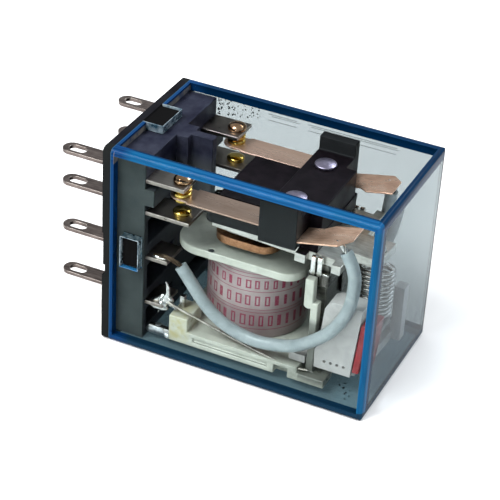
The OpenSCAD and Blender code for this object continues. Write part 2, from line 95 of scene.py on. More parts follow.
class Look:
    """A Principled material on object coordinates in millimetres, with short calls for its textures."""

    def __init__(self, name, rough=0.5, metal=0.0, **sockets):
        self.m = bpy.data.materials.new(name)
        self.m.use_nodes = True
        self.t = self.m.node_tree
        self.bsdf = self.t.nodes["Principled BSDF"]
        self.set("Roughness", rough)
        self.set("Metallic", metal)
        for key, value in sockets.items():
            self.set(key.replace("_", " "), value)
        self.coord = self.t.nodes.new("ShaderNodeTexCoord").outputs["Object"]

    def set(self, socket, value):
        if isinstance(value, bpy.types.NodeSocket):
            self.t.links.new(value, self.bsdf.inputs[socket])
        else:
            if isinstance(value, (tuple, list)) and len(value) == 3 and socket.endswith("Color"):
                value = (*value, 1)
            self.bsdf.inputs[socket].default_value = value

    def put(self, node, index, value):
        """Links value to a node's input if it is a socket, and sets it there if not."""
        if isinstance(value, bpy.types.NodeSocket):
            self.t.links.new(value, node.inputs[index])
        else:
            node.inputs[index].default_value = value

    def mm(self, stretch=(1, 1, 1)):
        """Object coordinates in millimetres; less than 1 stretches a texture along that axis."""
        n = self.t.nodes.new("ShaderNodeMapping")
        n.inputs["Scale"].default_value = [s / MM for s in stretch]
        self.t.links.new(self.coord, n.inputs["Vector"])
        return n.outputs["Vector"]

    def noise(self, size, detail=3.0, stretch=(1, 1, 1), rough=0.55, distort=0.0):
        """Noise whose features are about size millimetres across."""
        n = self.t.nodes.new("ShaderNodeTexNoise")
        n.inputs["Scale"].default_value = 1 / size
        n.inputs["Detail"].default_value = detail
        n.inputs["Roughness"].default_value = rough
        n.inputs["Distortion"].default_value = distort
        self.t.links.new(self.mm(stretch), n.inputs["Vector"])
        return n.outputs["Fac"]

    def cells(self, size):
        """Distance to the nearest of points that lie about size millimetres apart."""
        n = self.t.nodes.new("ShaderNodeTexVoronoi")
        n.inputs["Scale"].default_value = 1 / size
        self.t.links.new(self.mm(), n.inputs["Vector"])
        return n.outputs["Distance"]

    def ramp(self, fac, *stops):
        """Colour ramp; each stop is (place, (r, g, b)) or (place, grey)."""
        n = self.t.nodes.new("ShaderNodeValToRGB")
        e = n.color_ramp.elements
        while len(e) < len(stops):
            e.new(0.5)
        for el, (at, c) in zip(e, stops):
            el.position = at
            el.color = (*c, 1) if isinstance(c, (tuple, list)) else (c, c, c, 1)
        self.t.links.new(fac, n.inputs["Fac"])
        return n.outputs["Color"]

    def calc(self, op, *values, clamp=False):
        """One Math node on sockets or numbers."""
        n = self.t.nodes.new("ShaderNodeMath")
        n.operation = op
        n.use_clamp = clamp
        for i, value in enumerate(values):
            self.put(n, i, value)
        return n.outputs[0]

    def times(self, first, *rest):
        """The product of all the values."""
        for value in rest:
            first = self.calc("MULTIPLY", first, value)
        return first

    def most(self, first, *rest):
        """The greatest of all the values."""
        for value in rest:
            first = self.calc("MAXIMUM", first, value)
        return first

    def mix(self, fac, a, b):
        """Colour a where fac is 0, colour b where it is 1."""
        n = self.t.nodes.new("ShaderNodeMix")
        n.data_type = "RGBA"
        self.put(n, 0, fac)
        for i, c in ((6, a), (7, b)):
            self.put(n, i, (*c, 1) if isinstance(c, (tuple, list)) else c)
        return n.outputs[2]

    def axis(self, which):
        """The object coordinate along x, y or z, in millimetres."""
        n = self.t.nodes.new("ShaderNodeSeparateXYZ")
        self.t.links.new(self.mm(), n.inputs[0])
        return n.outputs["XYZ".index(which)]

    def above(self, value, at, soft):
        """0 up to at, and 1 from soft past it."""
        return self.calc("DIVIDE", self.calc("SUBTRACT", value, at), soft, clamp=True)

    def below(self, value, at, soft):
        """0 from at on, and 1 up to soft before it."""
        return self.calc("DIVIDE", self.calc("SUBTRACT", at, value), soft, clamp=True)

    def between(self, value, lo, hi, soft):
        """1 where value lies between lo and hi, with soft edges."""
        return self.times(self.above(value, lo, soft), self.below(value, hi, soft))

    def beyond(self, which, reach):
        """1 further than reach from the middle along x, y or z."""
        return self.calc("GREATER_THAN", self.calc("ABSOLUTE", self.axis(which)), reach)

    def edges(self, radius):
        """Near 1 on sharp edges, 0 on flat faces."""
        t = self.t
        bev = t.nodes.new("ShaderNodeBevel")
        bev.samples = 4
        bev.inputs["Radius"].default_value = radius * MM
        geo = t.nodes.new("ShaderNodeNewGeometry")
        dot = t.nodes.new("ShaderNodeVectorMath")
        dot.operation = "DOT_PRODUCT"
        t.links.new(bev.outputs[0], dot.inputs[0])
        t.links.new(geo.outputs["Normal"], dot.inputs[1])
        return self.calc("MULTIPLY", self.calc("SUBTRACT", 1.0, dot.outputs["Value"]), 6.0, clamp=True)

    def bump(self, height, depth):
        """Relief of about depth millimetres."""
        n = self.t.nodes.new("ShaderNodeBump")
        n.inputs["Strength"].default_value = 1.0
        n.inputs["Distance"].default_value = depth * MM
        self.t.links.new(height, n.inputs["Height"])
        self.t.links.new(n.outputs["Normal"], self.bsdf.inputs["Normal"])


def worn_metal(name, dark, light, rough, grain=(0.25, 1, 1), size=0.35, depth=0.004, edge=None, pits=0.0,
               inside=None):
    """Drawn or rolled metal: streaks along the grain, a little tarnish, and brighter edges, a painted
    highlight.

    inside is a lighter colour for what lies within the case, a painted reflection of the clear walls."""
    k = Look(name, metal=1.0)
    streak = k.noise(size, 5, grain, 0.65)
    blotch = k.noise(2.2, 4, distort=0.6)
    tone = k.calc("ADD", k.times(streak, 0.6), k.times(blotch, 0.4))
    color = k.ramp(tone, (0.36, dark), (0.62, light))
    # lighter within the case: painted reflection
    if inside:
        color = k.mix(k.times(k.above(k.axis("X"), 5.5, 0.5), 0.6), color, inside)
    # brighter edges: painted highlight
    if edge:
        color = k.mix(k.edges(0.09), color, edge)
    k.set("Base Color", color)
    gloss = k.calc("ADD", k.times(streak, 0.5), k.times(blotch, 0.5))
    k.set("Roughness", k.ramp(gloss, (0.3, rough[0]), (0.7, rough[1])))
    height = streak
    if pits:
        height = k.calc("SUBTRACT", streak, k.times(k.ramp(k.noise(0.5, 4), (0.62, 0), (0.7, 1)), pits))
    k.bump(height, depth)
    return k.m


def moulded(name, dark, light, rough=(0.3, 0.5), size=1.6, depth=0.006, grain=0.5, shades=None, **sockets):
    """Moulded plastic: faint flow marks, fine grain and uneven gloss.

    shades(k) gives (share, colour, roughness) rows for places that look different."""
    k = Look(name, **sockets)
    flow = k.noise(size, 4, distort=0.8)
    color = k.ramp(flow, (0.3, dark), (0.7, light))
    gloss = k.ramp(k.noise(size * 1.7, 5), (0.3, rough[0]), (0.7, rough[1]))
    for share, other, dullness in shades(k) if shades else ():
        color = k.mix(share, color, other)
        gloss = k.mix(share, gloss, (dullness,) * 3)
    k.set("Base Color", color)
    k.set("Roughness", gloss)
    height = flow
    if grain:
        height = k.calc("ADD", k.times(k.noise(0.3, 2), grain), flow)
    k.bump(height, depth)
    return k.m


def base_shades(k):
    """The base: lighter on its broad sides and within the case and indigo on top, all painted reflection of
    the clear walls; near black on its rim, and painted shade where the case is open.
    """
    x, y, z = (k.axis(c) for c in "XYZ")
    # broad sides lighter grey in patches: painted reflection of the front and back walls
    broad = k.beyond("Y", 9.35)
    patchy_tone = k.ramp(k.noise(2.5, 4), (0.3, (0.036, 0.043, 0.043)), (0.7, (0.050, 0.058, 0.057)))
    # near black in the latch windows and notches, a painted shade, and on the rim
    window = k.times(k.between(x, 2.45, 4.9, 0.05), k.between(z, -2.3, 2.3, 0.05), broad)
    notch = k.times(k.between(x, 1.0, 3.9, 0.02), k.between(y, *NOTCH_Y, 0.02), k.beyond("Z", 12.3))
    rim = k.times(k.between(x, 0.02, case_lo.x - 0.02, 0.02), 0.85)
    # lighter within the case: painted reflection of the clear walls
    inner = k.above(x, 5.2, 0.3)
    # indigo on top: painted sheen of the top wall
    upper = k.times(k.above(z, 8.5, 2.0), k.calc("SUBTRACT", 1.0, broad))
    indigo = k.ramp(k.noise(3.0, 4), (0.35, (0.010, 0.010, 0.022)), (0.65, (0.040, 0.042, 0.060)))
    return ((inner, (0.062, 0.066, 0.07), 0.5), (upper, indigo, 0.4), (broad, patchy_tone, 0.5),
            (k.most(window, notch, rim), (0.0008, 0.0008, 0.001), 0.9))


def card_shades(k):
    """The card: lighter on its outer sides, a painted reflection of the clear walls."""
    return (k.times(k.beyond("Y", 7.8), 0.8), (0.020, 0.022, 0.022), 0.5),


ACRYLIC_IOR = 1.49


def clear_pane(name, tint, film=None, sheen=(1, 1, 1), marks=None, bends=False):
    """Clear plastic wall: it tints what is behind it and mirrors at grazing angles.

    film is (haze, smudge, colour) for its dull film; marks(k) gives (share, colour) of prints or stains.
    bends is for a wall that refracts what is seen through it, while lamps' light passes straight."""
    k = Look(name)
    t = k.t
    t.nodes.remove(k.bsdf)
    clear = t.nodes.new("ShaderNodeBsdfTransparent")
    clear.inputs[0].default_value = (*tint, 1)
    surface = clear.outputs[0]

    def cover(share, shader):
        """Lays a shader over what is there already."""
        over = t.nodes.new("ShaderNodeMixShader")
        k.put(over, 0, share)
        t.links.new(surface, over.inputs[1])
        t.links.new(shader.outputs[0], over.inputs[2])
        return over.outputs[0]

    def dull(color):
        """A plain matt shader."""
        shader = t.nodes.new("ShaderNodeBsdfDiffuse")
        shader.inputs["Color"].default_value = (*color, 1)
        return shader

    if bends:
        bent = t.nodes.new("ShaderNodeBsdfRefraction")
        bent.inputs["Color"].default_value = (*tint, 1)
        bent.inputs["Roughness"].default_value = 0.0
        bent.inputs["IOR"].default_value = ACRYLIC_IOR
        ray = t.nodes.new("ShaderNodeLightPath").outputs
        surface = cover(ray["Is Camera Ray"], bent)
        surface = cover(ray["Is Transmission Ray"], bent)
    if film:
        haze, smudge, color = film
        cloud = k.noise(6.0, 5, (1, 0.6, 0.6), 0.7, 0.8)
        streak = k.noise(0.5, 4, (1, 0.12, 0.2), 0.7)
        smears = k.times(k.ramp(cloud, (0.45, 0), (0.75, 1)), k.ramp(streak, (0.4, 0.2), (0.7, 1)))
        surface = cover(k.calc("ADD", k.times(smears, smudge), haze), dull(color))
    if marks:
        share, color = marks(k)
        surface = cover(share, dull(color))
    mirror = t.nodes.new("ShaderNodeBsdfGlossy")
    mirror.inputs["Roughness"].default_value = 0.04
    mirror.inputs["Color"].default_value = (*sheen, 1)
    facing = t.nodes.new("ShaderNodeLayerWeight")
    facing.inputs["Blend"].default_value = 0.5
    grazing = k.calc("MULTIPLY", k.calc("SUBTRACT", facing.outputs["Facing"], 0.5), 2.0, clamp=True)
    surface = cover(k.calc("POWER", grazing, 3.5), mirror)
    t.links.new(surface, t.nodes["Material Output"].inputs["Surface"])
    return k.m


def plain_rules(k):
    """Two plain grey rules near the top of the back wall."""
    x, z = k.axis("X"), k.axis("Z")
    rules = k.most(k.between(z, 11.45, 11.65, 0.05), k.between(z, 12.3, 12.5, 0.05))
    stretches = k.most(k.between(x, 12.5, 16.5, 0.05), k.between(x, 18.0, 30.0, 0.05))
    return k.times(rules, stretches, 0.4), (0.05, 0.055, 0.06)


def end_blots(k):
    """Bluish blots low on the end wall and fine dark specks all over it."""
    blots = k.times(k.ramp(k.noise(1.5, 5, distort=1.0), (0.5, 0), (0.62, 1)),
                    k.below(k.axis("Z"), -4.0, 5.0))
    specks = k.ramp(k.cells(1.4), (0.05, 1), (0.08, 0))
    return k.most(k.times(blots, 0.16), k.times(specks, 0.35)), (0.03, 0.09, 0.15)


def cut_rim(name):
    """Cut-through wall round an opening: glassy, pale with painted glints, blue along its lower side."""
    k = Look(name, rough=0.08, Coat_Weight=0.8, Coat_Roughness=0.03, Alpha=0.8)
    # pale patches: painted glints
    pale = k.ramp(k.noise(0.7, 4), (0.38, (0.04, 0.10, 0.14)), (0.66, (0.42, 0.50, 0.54)))
    k.set("Base Color", k.mix(k.between(k.axis("Z"), -2.6, -2.05, 0.1), pale, (0.01, 0.12, 0.28)))
    k.bump(k.noise(0.4, 3), 0.01)
    return k.m


def blue_edge(name, low, high):
    """The case's corners, where its blue tint gathers; painted light and shade make them bright along the
    front, deep at the back, teal along the bottom and dark by the base.

    low and high are the case's box. Fine lines of painted highlight and shade run along each corner."""
    k = Look(name, rough=0.25, Specular_IOR_Level=0.03, Coat_Weight=0.03, Coat_Roughness=0.06)
    x, y, z = (k.axis(c) for c in "XYZ")
    gaps = [k.calc("SUBTRACT", high[0], x)]
    for i, c in ((1, y), (2, z)):
        gaps.append(k.calc("MINIMUM", k.calc("SUBTRACT", c, low[i]), k.calc("SUBTRACT", high[i], c)))
    across = k.calc("SUBTRACT", k.calc("ADD", gaps[0], k.calc("ADD", gaps[1], gaps[2])), k.most(*gaps))
    across = k.calc("ADD", across, k.times(k.calc("SUBTRACT", k.noise(5.0, 2), 0.5), 0.35))
    # fine lines along each corner: painted highlight and shade
    lines = k.ramp(k.calc("DIVIDE", across, 2.0), (0.0, 0.75), (0.10, 0.25), (0.18, 0.8), (0.26, 0.15),
                   (0.36, 0.65), (0.46, 0.35), (0.62, 0.75), (0.70, 0.2), (1.0, 0.5))
    # copies of the blue for each place: painted light and shade
    deep = k.mix(lines, (0.0, 0.010, 0.032), (0.001, 0.026, 0.075))
    bright = k.mix(lines, (0.001, 0.034, 0.11), (0.010, 0.10, 0.26))
    teal = k.mix(lines, (0.002, 0.014, 0.034), (0.008, 0.036, 0.068))
    middle = k.mix(lines, (0.001, 0.05, 0.135), (0.006, 0.10, 0.22))
    by_base = k.mix(lines, (0.001, 0.012, 0.05), (0.004, 0.05, 0.16))
    front = k.below(y, low[1] + 1.15, 0.1)
    top = k.above(z, high[2] - 1.1, 0.1)
    bottom = k.below(z, low[2] + 1.25, 0.1)
    # brighter in patches further along the front top corner: painted highlight
    along = k.times(k.ramp(k.calc("DIVIDE", x, high[0]), (0.1, 0.15), (0.45, 1)),
                    k.ramp(k.noise(2.2, 5, (0.5, 1, 1), distort=1.0), (0.36, 0.35), (0.56, 1)))
    color = k.mix(front, deep, middle)
    color = k.mix(k.times(front, top, along), color, bright)
    color = k.mix(bottom, color, teal)
    color = k.mix(k.below(x, 4.0, 1.5), color, by_base)
    color = k.mix(k.below(x, low[0] + 0.1, 0.05), color, (0.02, 0.07, 0.13))
    sill = k.times(k.between(x, low[0] + RIM - 0.04, low[0] + RIM + 0.04, 0.02),
                   k.between(z, 12.0, high[2] - 0.2, 0.2), k.ramp(k.noise(1.5, 3), (0.35, 0.3), (0.6, 1)))
    color = k.mix(sill, color, (0.21, 0.185, 0.16))
    k.set("Base Color", color)
    k.bump(lines, 0.01)
    return k.m


def bobbin_plastic(name):
    """Milky nylon: flux-stained round the pins at the contact end, darker in patches low at the far end, and
    dark on its post at the far end, a painted shade.
    """
    k = Look(name, Subsurface_Weight=0.15, Subsurface_Radius=(0.0006, 0.0006, 0.0005), Subsurface_Scale=1.0)
    x, y, z = (k.axis(c) for c in "XYZ")
    flow = k.noise(2.4, 4, distort=0.8)
    color = k.ramp(flow, (0.3, (0.43, 0.435, 0.37)), (0.7, (0.58, 0.58, 0.50)))
    stain = k.times(k.between(x, 8.0, 11.9, 1.2), k.between(z, -12.5, -7.5, 1.5),
                    k.between(y, -10.0, -5.0, 1.0), k.ramp(k.noise(1.1, 4), (0.35, 0.2), (0.6, 1)))
    color = k.mix(stain, color, (0.42, 0.36, 0.14))
    # darker in patches low at the far end
    patchy_tone = k.times(k.above(x, 21.0, 5.0), k.below(z, -9.0, 1.5),
                    k.ramp(k.noise(1.3, 4), (0.3, 0.35), (0.65, 0.8)))
    color = k.mix(patchy_tone, color, (0.16, 0.165, 0.135))
    # dark on the post at the far end: painted shade
    post = k.times(k.above(x, 26.6, 0.1), k.between(z, -12.0, -3.2, 0.8), k.below(y, -6.3, 0.1), 0.75)
    color = k.mix(post, color, (0.07, 0.07, 0.06))
    k.set("Base Color", color)
    k.set("Roughness", k.ramp(k.noise(3.0, 5), (0.3, 0.25), (0.7, 0.4)))
    k.bump(k.calc("ADD", flow, k.times(k.noise(0.15, 2), 0.4)), 0.008)
    return k.m


def clip_steel(name):
    """Tinned spring clip: bright where the prongs stand up, dark below."""
    k = Look(name, metal=1.0)
    streak = k.noise(0.4, 4, (1, 1, 0.3))
    low = k.ramp(streak, (0.35, (0.05, 0.047, 0.042)), (0.65, (0.16, 0.15, 0.135)))
    high = k.ramp(streak, (0.35, (0.55, 0.54, 0.50)), (0.65, (0.86, 0.85, 0.81)))
    k.set("Base Color", k.mix(k.above(k.axis("Z"), 2.3, 0.4), low, high))
    k.set("Roughness", k.ramp(streak, (0.3, 0.12), (0.7, 0.28)))
    k.bump(streak, 0.01)
    return k.m


def copper_strip(name, shade):
    """Rolled copper strip, brushed along its length; shade is a painted shade that dims its flat part, and
    its flared tail has a brighter colour, a painted reflection.
    """
    k = Look(name, metal=0.7)
    streak = k.noise(0.22, 5, (0.06, 1, 1), 0.7)
    blotch = k.noise(1.6, 4, (0.5, 1, 1), distort=0.5)
    tone = k.calc("ADD", k.times(streak, 0.5), k.times(blotch, 0.5))
    bright = k.ramp(tone, (0.34, (0.48, 0.27, 0.18)), (0.5, (0.80, 0.49, 0.34)), (0.66, (1.0, 0.70, 0.53)))
    dim = k.ramp(tone, *((at, tuple(c * shade for c in rgb)) for at, rgb in
                         ((0.34, (0.62, 0.40, 0.29)), (0.66, (0.86, 0.60, 0.47)))))
    # flat part dimmer by painted shade, flared tail brighter by painted reflection
    k.set("Base Color", k.mix(k.below(k.axis("X"), 26.0, 2.0), bright, dim))
    k.set("Roughness", k.ramp(tone, (0.3, 0.38), (0.7, 0.22)))
    k.bump(streak, 0.0015)
    return k.m


def printed_tape(name):
    """Pale tape wound on a slight spiral, printed with plain rules and rows of plain blocks and frames,
    darker on its lower part with painted shade.
    """
    k = Look(name, rough=0.3, Coat_Weight=0.25)
    x, y, z = (k.axis(c) for c in "XYZ")
    angle = k.calc("ARCTAN2", y, k.calc("SUBTRACT", x, COIL_X))
    around = k.times(angle, TAPE_R)
    height = k.calc("ADD", z, k.times(angle, 0.10))
    rule, frame_line = 0.13, 0.2
    lines = k.most(*(k.between(height, at - rule / 2, at + rule / 2, 0.05)
                     for at in (-0.75, -1.25, -3.35, -6.0, -6.45, -8.9)))
    for low, high, start, step, share in ((-2.95, -1.65, 0.15, 1.15, 0.42), (-5.45, -3.95, 0.6, 1.25, 0.45),
                                          (-8.5, -6.85, 0.3, 1.2, 0.45)):
        turned = k.calc("ADD", around, start)
        cell = k.calc("WRAP", turned, step, 0.0)
        pick = k.t.nodes.new("ShaderNodeTexWhiteNoise")
        pick.noise_dimensions = "1D"
        k.t.links.new(k.calc("FLOOR", k.calc("DIVIDE", turned, step)), pick.inputs["W"])
        left = step * 0.08
        right = k.calc("MULTIPLY_ADD", pick.outputs["Value"], 0.35 * step, share * step)
        tick = k.times(k.between(cell, left, right, 0.05), k.between(height, low, high, 0.06))
        hole = k.times(k.between(cell, left + frame_line, k.calc("SUBTRACT", right, frame_line), 0.04),
                       k.between(height, low + frame_line, high - frame_line, 0.05),
                       k.calc("GREATER_THAN", pick.outputs["Value"], 0.3))
        lines = k.most(lines, k.calc("SUBTRACT", tick, hole, clamp=True))
    ink = k.times(lines, k.ramp(k.noise(0.25, 3), (0.3, 0.75), (0.6, 1.0)))
    paper = k.ramp(k.noise(2.5, 4), (0.3, (0.31, 0.235, 0.23)), (0.7, (0.42, 0.35, 0.335)))
    # darker on the lower part: painted shade
    paper = k.mix(k.times(k.below(height, -5.9, 0.3), 0.45), paper, (0.23, 0.14, 0.15))
    k.set("Base Color", k.mix(ink, paper, (0.26, 0.022, 0.06)))
    k.bump(k.calc("ADD", k.noise(1.2, 4), k.times(lines, 0.2)), 0.01)
    return k.m


M = {
    "clear_case": clear_pane("blue_clear_front", (0.93, 0.96, 0.98)),
    "black_base": moulded("black_phenolic", (0.020, 0.022, 0.026), (0.034, 0.036, 0.043), (0.4, 0.55),
                          depth=0.004, grain=0, shades=base_shades, Specular_IOR_Level=0.08),
    "tinned_blade": worn_metal("tinned_brass", (0.065, 0.05, 0.046), (0.21, 0.175, 0.16), (0.25, 0.42),
                               (0.15, 1, 1), edge=(0.62, 0.59, 0.54), pits=0.5, inside=(0.36, 0.32, 0.28)),
    "contact_alloy": worn_metal("contact_alloy", (0.40, 0.26, 0.05), (0.80, 0.58, 0.16), (0.10, 0.22),
                                size=0.6),
    "copper_spring": copper_strip("copper_strip", 1.0),
    "lead_sleeve": moulded("lead_sleeve", (0.25, 0.285, 0.29), (0.34, 0.38, 0.385), (0.28, 0.4)),
    "solder": worn_metal("solder", (0.45, 0.44, 0.42), (0.85, 0.84, 0.80), (0.10, 0.25), (1, 1, 1), 0.6,
                         0.03),
    "yoke_steel": worn_metal("yoke_steel", (0.10, 0.097, 0.085), (0.23, 0.225, 0.20), (0.3, 0.45)),
    "core_iron": worn_metal("core_iron", (0.24, 0.23, 0.21), (0.4, 0.39, 0.36), (0.35, 0.5)),
    "copper_ring": worn_metal("copper_ring", (0.22, 0.105, 0.05), (0.46, 0.24, 0.13), (0.3, 0.45), (1, 1, 1)),
    "bobbin_nylon": bobbin_plastic("bobbin_nylon"),
    "magnet_wire": worn_metal("magnet_wire", (0.30, 0.10, 0.04), (0.55, 0.22, 0.10), (0.3, 0.4)),
    "coil_tape": printed_tape("coil_tape"),
    "bright_steel": worn_metal("bright_steel", (0.55, 0.55, 0.54), (0.85, 0.85, 0.83), (0.08, 0.2)),
    "armature_steel": worn_metal("armature_steel", (0.40, 0.39, 0.35), (0.66, 0.65, 0.60), (0.25, 0.4)),
    "card_black": moulded("card_black", (0.004, 0.003, 0.004), (0.010, 0.007, 0.009), (0.3, 0.45),
                          depth=0.004, grain=0, shades=card_shades, Specular_IOR_Level=0.06),
    "rivet_silver": worn_metal("rivet_silver", (0.24, 0.21, 0.28), (0.40, 0.36, 0.45), (0.3, 0.45),
                               (1, 1, 1)),
    "spring_steel": worn_metal("spring_steel", (0.30, 0.28, 0.26), (0.60, 0.58, 0.55), (0.15, 0.3),
                               (1, 1, 1)),
    "white_plastic": moulded("white_nylon", (0.40, 0.385, 0.37), (0.50, 0.475, 0.455), (0.35, 0.5)),
    "red_lens": moulded("red_lens", (0.24, 0.014, 0.018), (0.32, 0.025, 0.03), (0.1, 0.2)),
    "resistor_body": moulded("resistor_body", (0.50, 0.36, 0.20), (0.60, 0.46, 0.28), (0.3, 0.4)),
}

STRAND = worn_metal("dark_strands", (0.03, 0.024, 0.018), (0.13, 0.09, 0.06), (0.3, 0.5), (1, 1, 1))
FROST = worn_metal("dull_solder", (0.22, 0.24, 0.25), (0.62, 0.64, 0.65), (0.3, 0.5), (1, 1, 1), 0.25, 0.05)
WIRE = worn_metal("dull_wire", (0.20, 0.18, 0.155), (0.48, 0.45, 0.40), (0.25, 0.35), (1, 1, 1), 1.5, 0.001)
HEAD = worn_metal("rivet_head_copper", (0.26, 0.14, 0.07), (0.60, 0.38, 0.22), (0.08, 0.2), (1, 1, 1), 0.8)
for name, obj in NODES.items():
    obj.data.materials.clear()
    obj.data.materials.append(M[SLOT[name]])

# ---------------------------------------------------------------- mesh tools

def new_object(name, verts, faces, material, sharp=35):
    """A mesh in the scene, smooth but for edges that turn more than sharp degrees."""
    mesh = bpy.data.meshes.new(name)
    mesh.from_pydata([tuple(v) for v in verts], [], faces)
    mesh.validate()
    mesh.materials.append(material)
    mesh.polygons.foreach_set("use_smooth", [True] * len(mesh.polygons))
    mesh.set_sharp_from_angle(angle=math.radians(sharp))
    obj = bpy.data.objects.new(name, mesh)
    bpy.context.scene.collection.objects.link(obj)
    return obj


def cleaned(node):
    """A CAD node's mesh with its doubled points merged and its flat faces joined."""
    bm = bmesh.new()
    bm.from_mesh(NODES[node].data)
    bmesh.ops.remove_doubles(bm, verts=bm.verts, dist=1e-6)
    bmesh.ops.dissolve_limit(bm, angle_limit=math.radians(0.4), verts=bm.verts, edges=bm.edges)
    return bm


def rounded(node, width, material=None):
    """A copy of a CAD node with its sharp edges rounded, which stands in for it."""
    bm = cleaned(node)
    verts = [v.co.copy() for v in bm.verts]
    faces = [[v.index for v in f.verts] for f in bm.faces]
    bm.free()
    obj = new_object(node + "_r", verts, faces, material or M[SLOT[node]])
    mod = obj.modifiers.new("edge", "BEVEL")
    mod.width = width * MM
    mod.segments = 2
    mod.limit_method = "ANGLE"
    mod.angle_limit = math.radians(30)
    mod.use_clamp_overlap = False
    mod.harden_normals = True
    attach(obj, BODY[node])
    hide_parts(node)
    return obj


# how far each node's edges are rounded, in millimetres
EDGE = {"base": 0.12, "yoke": 0.12, "core": 0.1, "shading_ring": 0.12, "bobbin": 0.18, "hinge_clip": 0.06,
        "armature": 0.08, "contact_card": 0.12, "indicator_holder": 0.07, "indicator_lens": 0.12,
        "card_rivet_front": 0.12, "card_rivet_back": 0.12}
for n in NODES:
    if n.startswith("terminal"):
        EDGE[n] = 0.07
    if n.startswith("moving_spring"):
        EDGE[n] = 0.04
# the front spring's flat part at half colour: painted shade
OWN_LOOK = {"hinge_clip": clip_steel("clip_steel"),
            "moving_spring_front": copper_strip("copper_strip_front", 0.5)}
for n, w in EDGE.items():
    rounded(n, w, material=OWN_LOOK.get(n))

# ---------------------------------------------------------------- clear case


def block(name, x, y, z):
    """A box in millimetres, used to cut other meshes."""
    verts = [(a, b, c) for a in x for b in y for c in z]
    faces = [(0, 1, 3, 2), (4, 6, 7, 5), (0, 4, 5, 1), (2, 3, 7, 6), (0, 2, 6, 4), (1, 5, 7, 3)]
    return new_object(name, verts, faces, M["clear_case"])


def combine(name, mesh, steps, material):
    """mesh (in millimetres) after boolean steps [(operation, cutter)], as a new object in metres."""
    obj = bpy.data.objects.new(name, mesh.copy())
    scene.collection.objects.link(obj)
    for i, (op, cutter) in enumerate(steps):
        mod = obj.modifiers.new(f"cut{i}", "BOOLEAN")
        mod.operation = op
        mod.solver = "EXACT"
        mod.object = cutter
    graph = bpy.context.evaluated_depsgraph_get()
    made = bpy.data.meshes.new_from_object(obj.evaluated_get(graph))
    bpy.data.objects.remove(obj)
    verts = [v.co * MM for v in made.vertices]
    faces = [list(p.vertices) for p in made.polygons]
    return new_object(name, verts, faces, material)


def shell_in_mm():
    """The CAD case's mesh, scaled up for the boolean steps."""
    bm = cleaned("case")
    bmesh.ops.scale(bm, vec=(1 / MM,) * 3, verts=bm.verts)
    mesh = bpy.data.meshes.new("case_shell")
    bm.to_mesh(mesh)
    bm.free()
    return mesh


shell = shell_in_mm()
x0, x1 = case_lo.x + RIM, case_hi.x
(y0, y1), (z0, z1) = ((case_lo[i], case_hi[i]) for i in (1, 2))
SKIN = WALL + 0.1
# where each wall is clear: x, y and z spans, with its blue corners left over at the sides
WINDOWS = {"front": ((x0, x1 - 0.75), (y0 - 1, y0 + SKIN), (z0 + 1.05, z1 - 0.8)),
           "back": ((x0, x1 - 0.4), (y1 - SKIN, y1 + 1), (z0 + WALL, z1 - 0.8)),
           "top": ((x0, x1 - 0.75), (y0 + 1.4, y1 - 1.3), (z1 - SKIN, z1 + 1)),
           "bottom": ((x0, x1 - WALL), (y0 + WALL, y1 - WALL), (z0 - 1, z0 + SKIN)),
           "end": ((x1 - SKIN, x1 + 1), (y0 + 1.9, y1 - 0.35), (z0 + 1.2, z1 - 1.4))}
GAP = 0.015  # between a clear wall and its corners
cutters = {n: block("cut_" + n, *spans) for n, spans in WINDOWS.items()}
fillers = {n: block("fill_" + n, *[(a + GAP, b - GAP) for a, b in spans]) for n, spans in WINDOWS.items()}
openings = {"window_front": block("cut_wf", LATCH_X, (y0 - 1, -9), LATCH_Z),
            "window_back": block("cut_wb", LATCH_X, (9, y1 + 1), LATCH_Z),
            "notch_top": block("cut_nt", NOTCH_X, NOTCH_Y, (12, 15)),
            "notch_bottom": block("cut_nb", NOTCH_X, NOTCH_Y, (-15, -12))}
away = [("DIFFERENCE", c) for c in openings.values()]
case_frame = combine("case_edges", shell,
                     [("DIFFERENCE", c) for c in cutters.values()] + away,
                     blue_edge("blue_case_edge", case_lo, case_hi))
# the back and bottom walls are tinted darker and the bottom one has a thick grey film: painted shade of what
# lies behind and under the case
PANE = {"front": clear_pane("clear_front", (0.90, 0.93, 0.935)),
        "back": clear_pane("clear_back", (0.61, 0.635, 0.63), marks=plain_rules),
        "top": clear_pane("clear_top", (0.91, 0.925, 0.94), sheen=(0.78, 0.78, 0.95)),
        "bottom": clear_pane("clear_bottom", (0.50, 0.60, 0.64), (0.28, 0.15, (0.22, 0.31, 0.34))),
        "end": clear_pane("clear_end", (0.78, 0.82, 0.84), (0.02, 0.10, (0.28, 0.36, 0.40)), marks=end_blots,
                          bends=True)}
panes = [combine("case_" + n, shell, [("INTERSECT", c)] + away, PANE[n]) for n, c in fillers.items()]
rims = [combine("case_" + n, shell, [("INTERSECT", c)], cut_rim("cut_rim_" + n)) for n, c in openings.items()]
for c in [*cutters.values(), *fillers.values(), *openings.values()]:
    bpy.data.objects.remove(c)
for piece in [case_frame, *panes, *rims]:
    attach(piece, "relay")
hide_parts("case")

# ---------------------------------------------------------------- round and bent pieces

FRONT, BACK = -1, 1


def curve_points(points, steps=8):
    """A smooth line through all but the first and last points, which only steer its ends."""
    out = []
    for i in range(1, len(points) - 2):
        p0, p1, p2, p3 = (Vector(points[i + j]) for j in (-1, 0, 1, 2))
        for n in range(steps):
            t = n / steps
            out.append(0.5 * (2 * p1 + (p2 - p0) * t + (2 * p0 - 5 * p1 + 4 * p2 - p3) * t * t
                              + (3 * p1 - 3 * p2 + p3 - p0) * t ** 3))
    return out + [Vector(points[-2])]


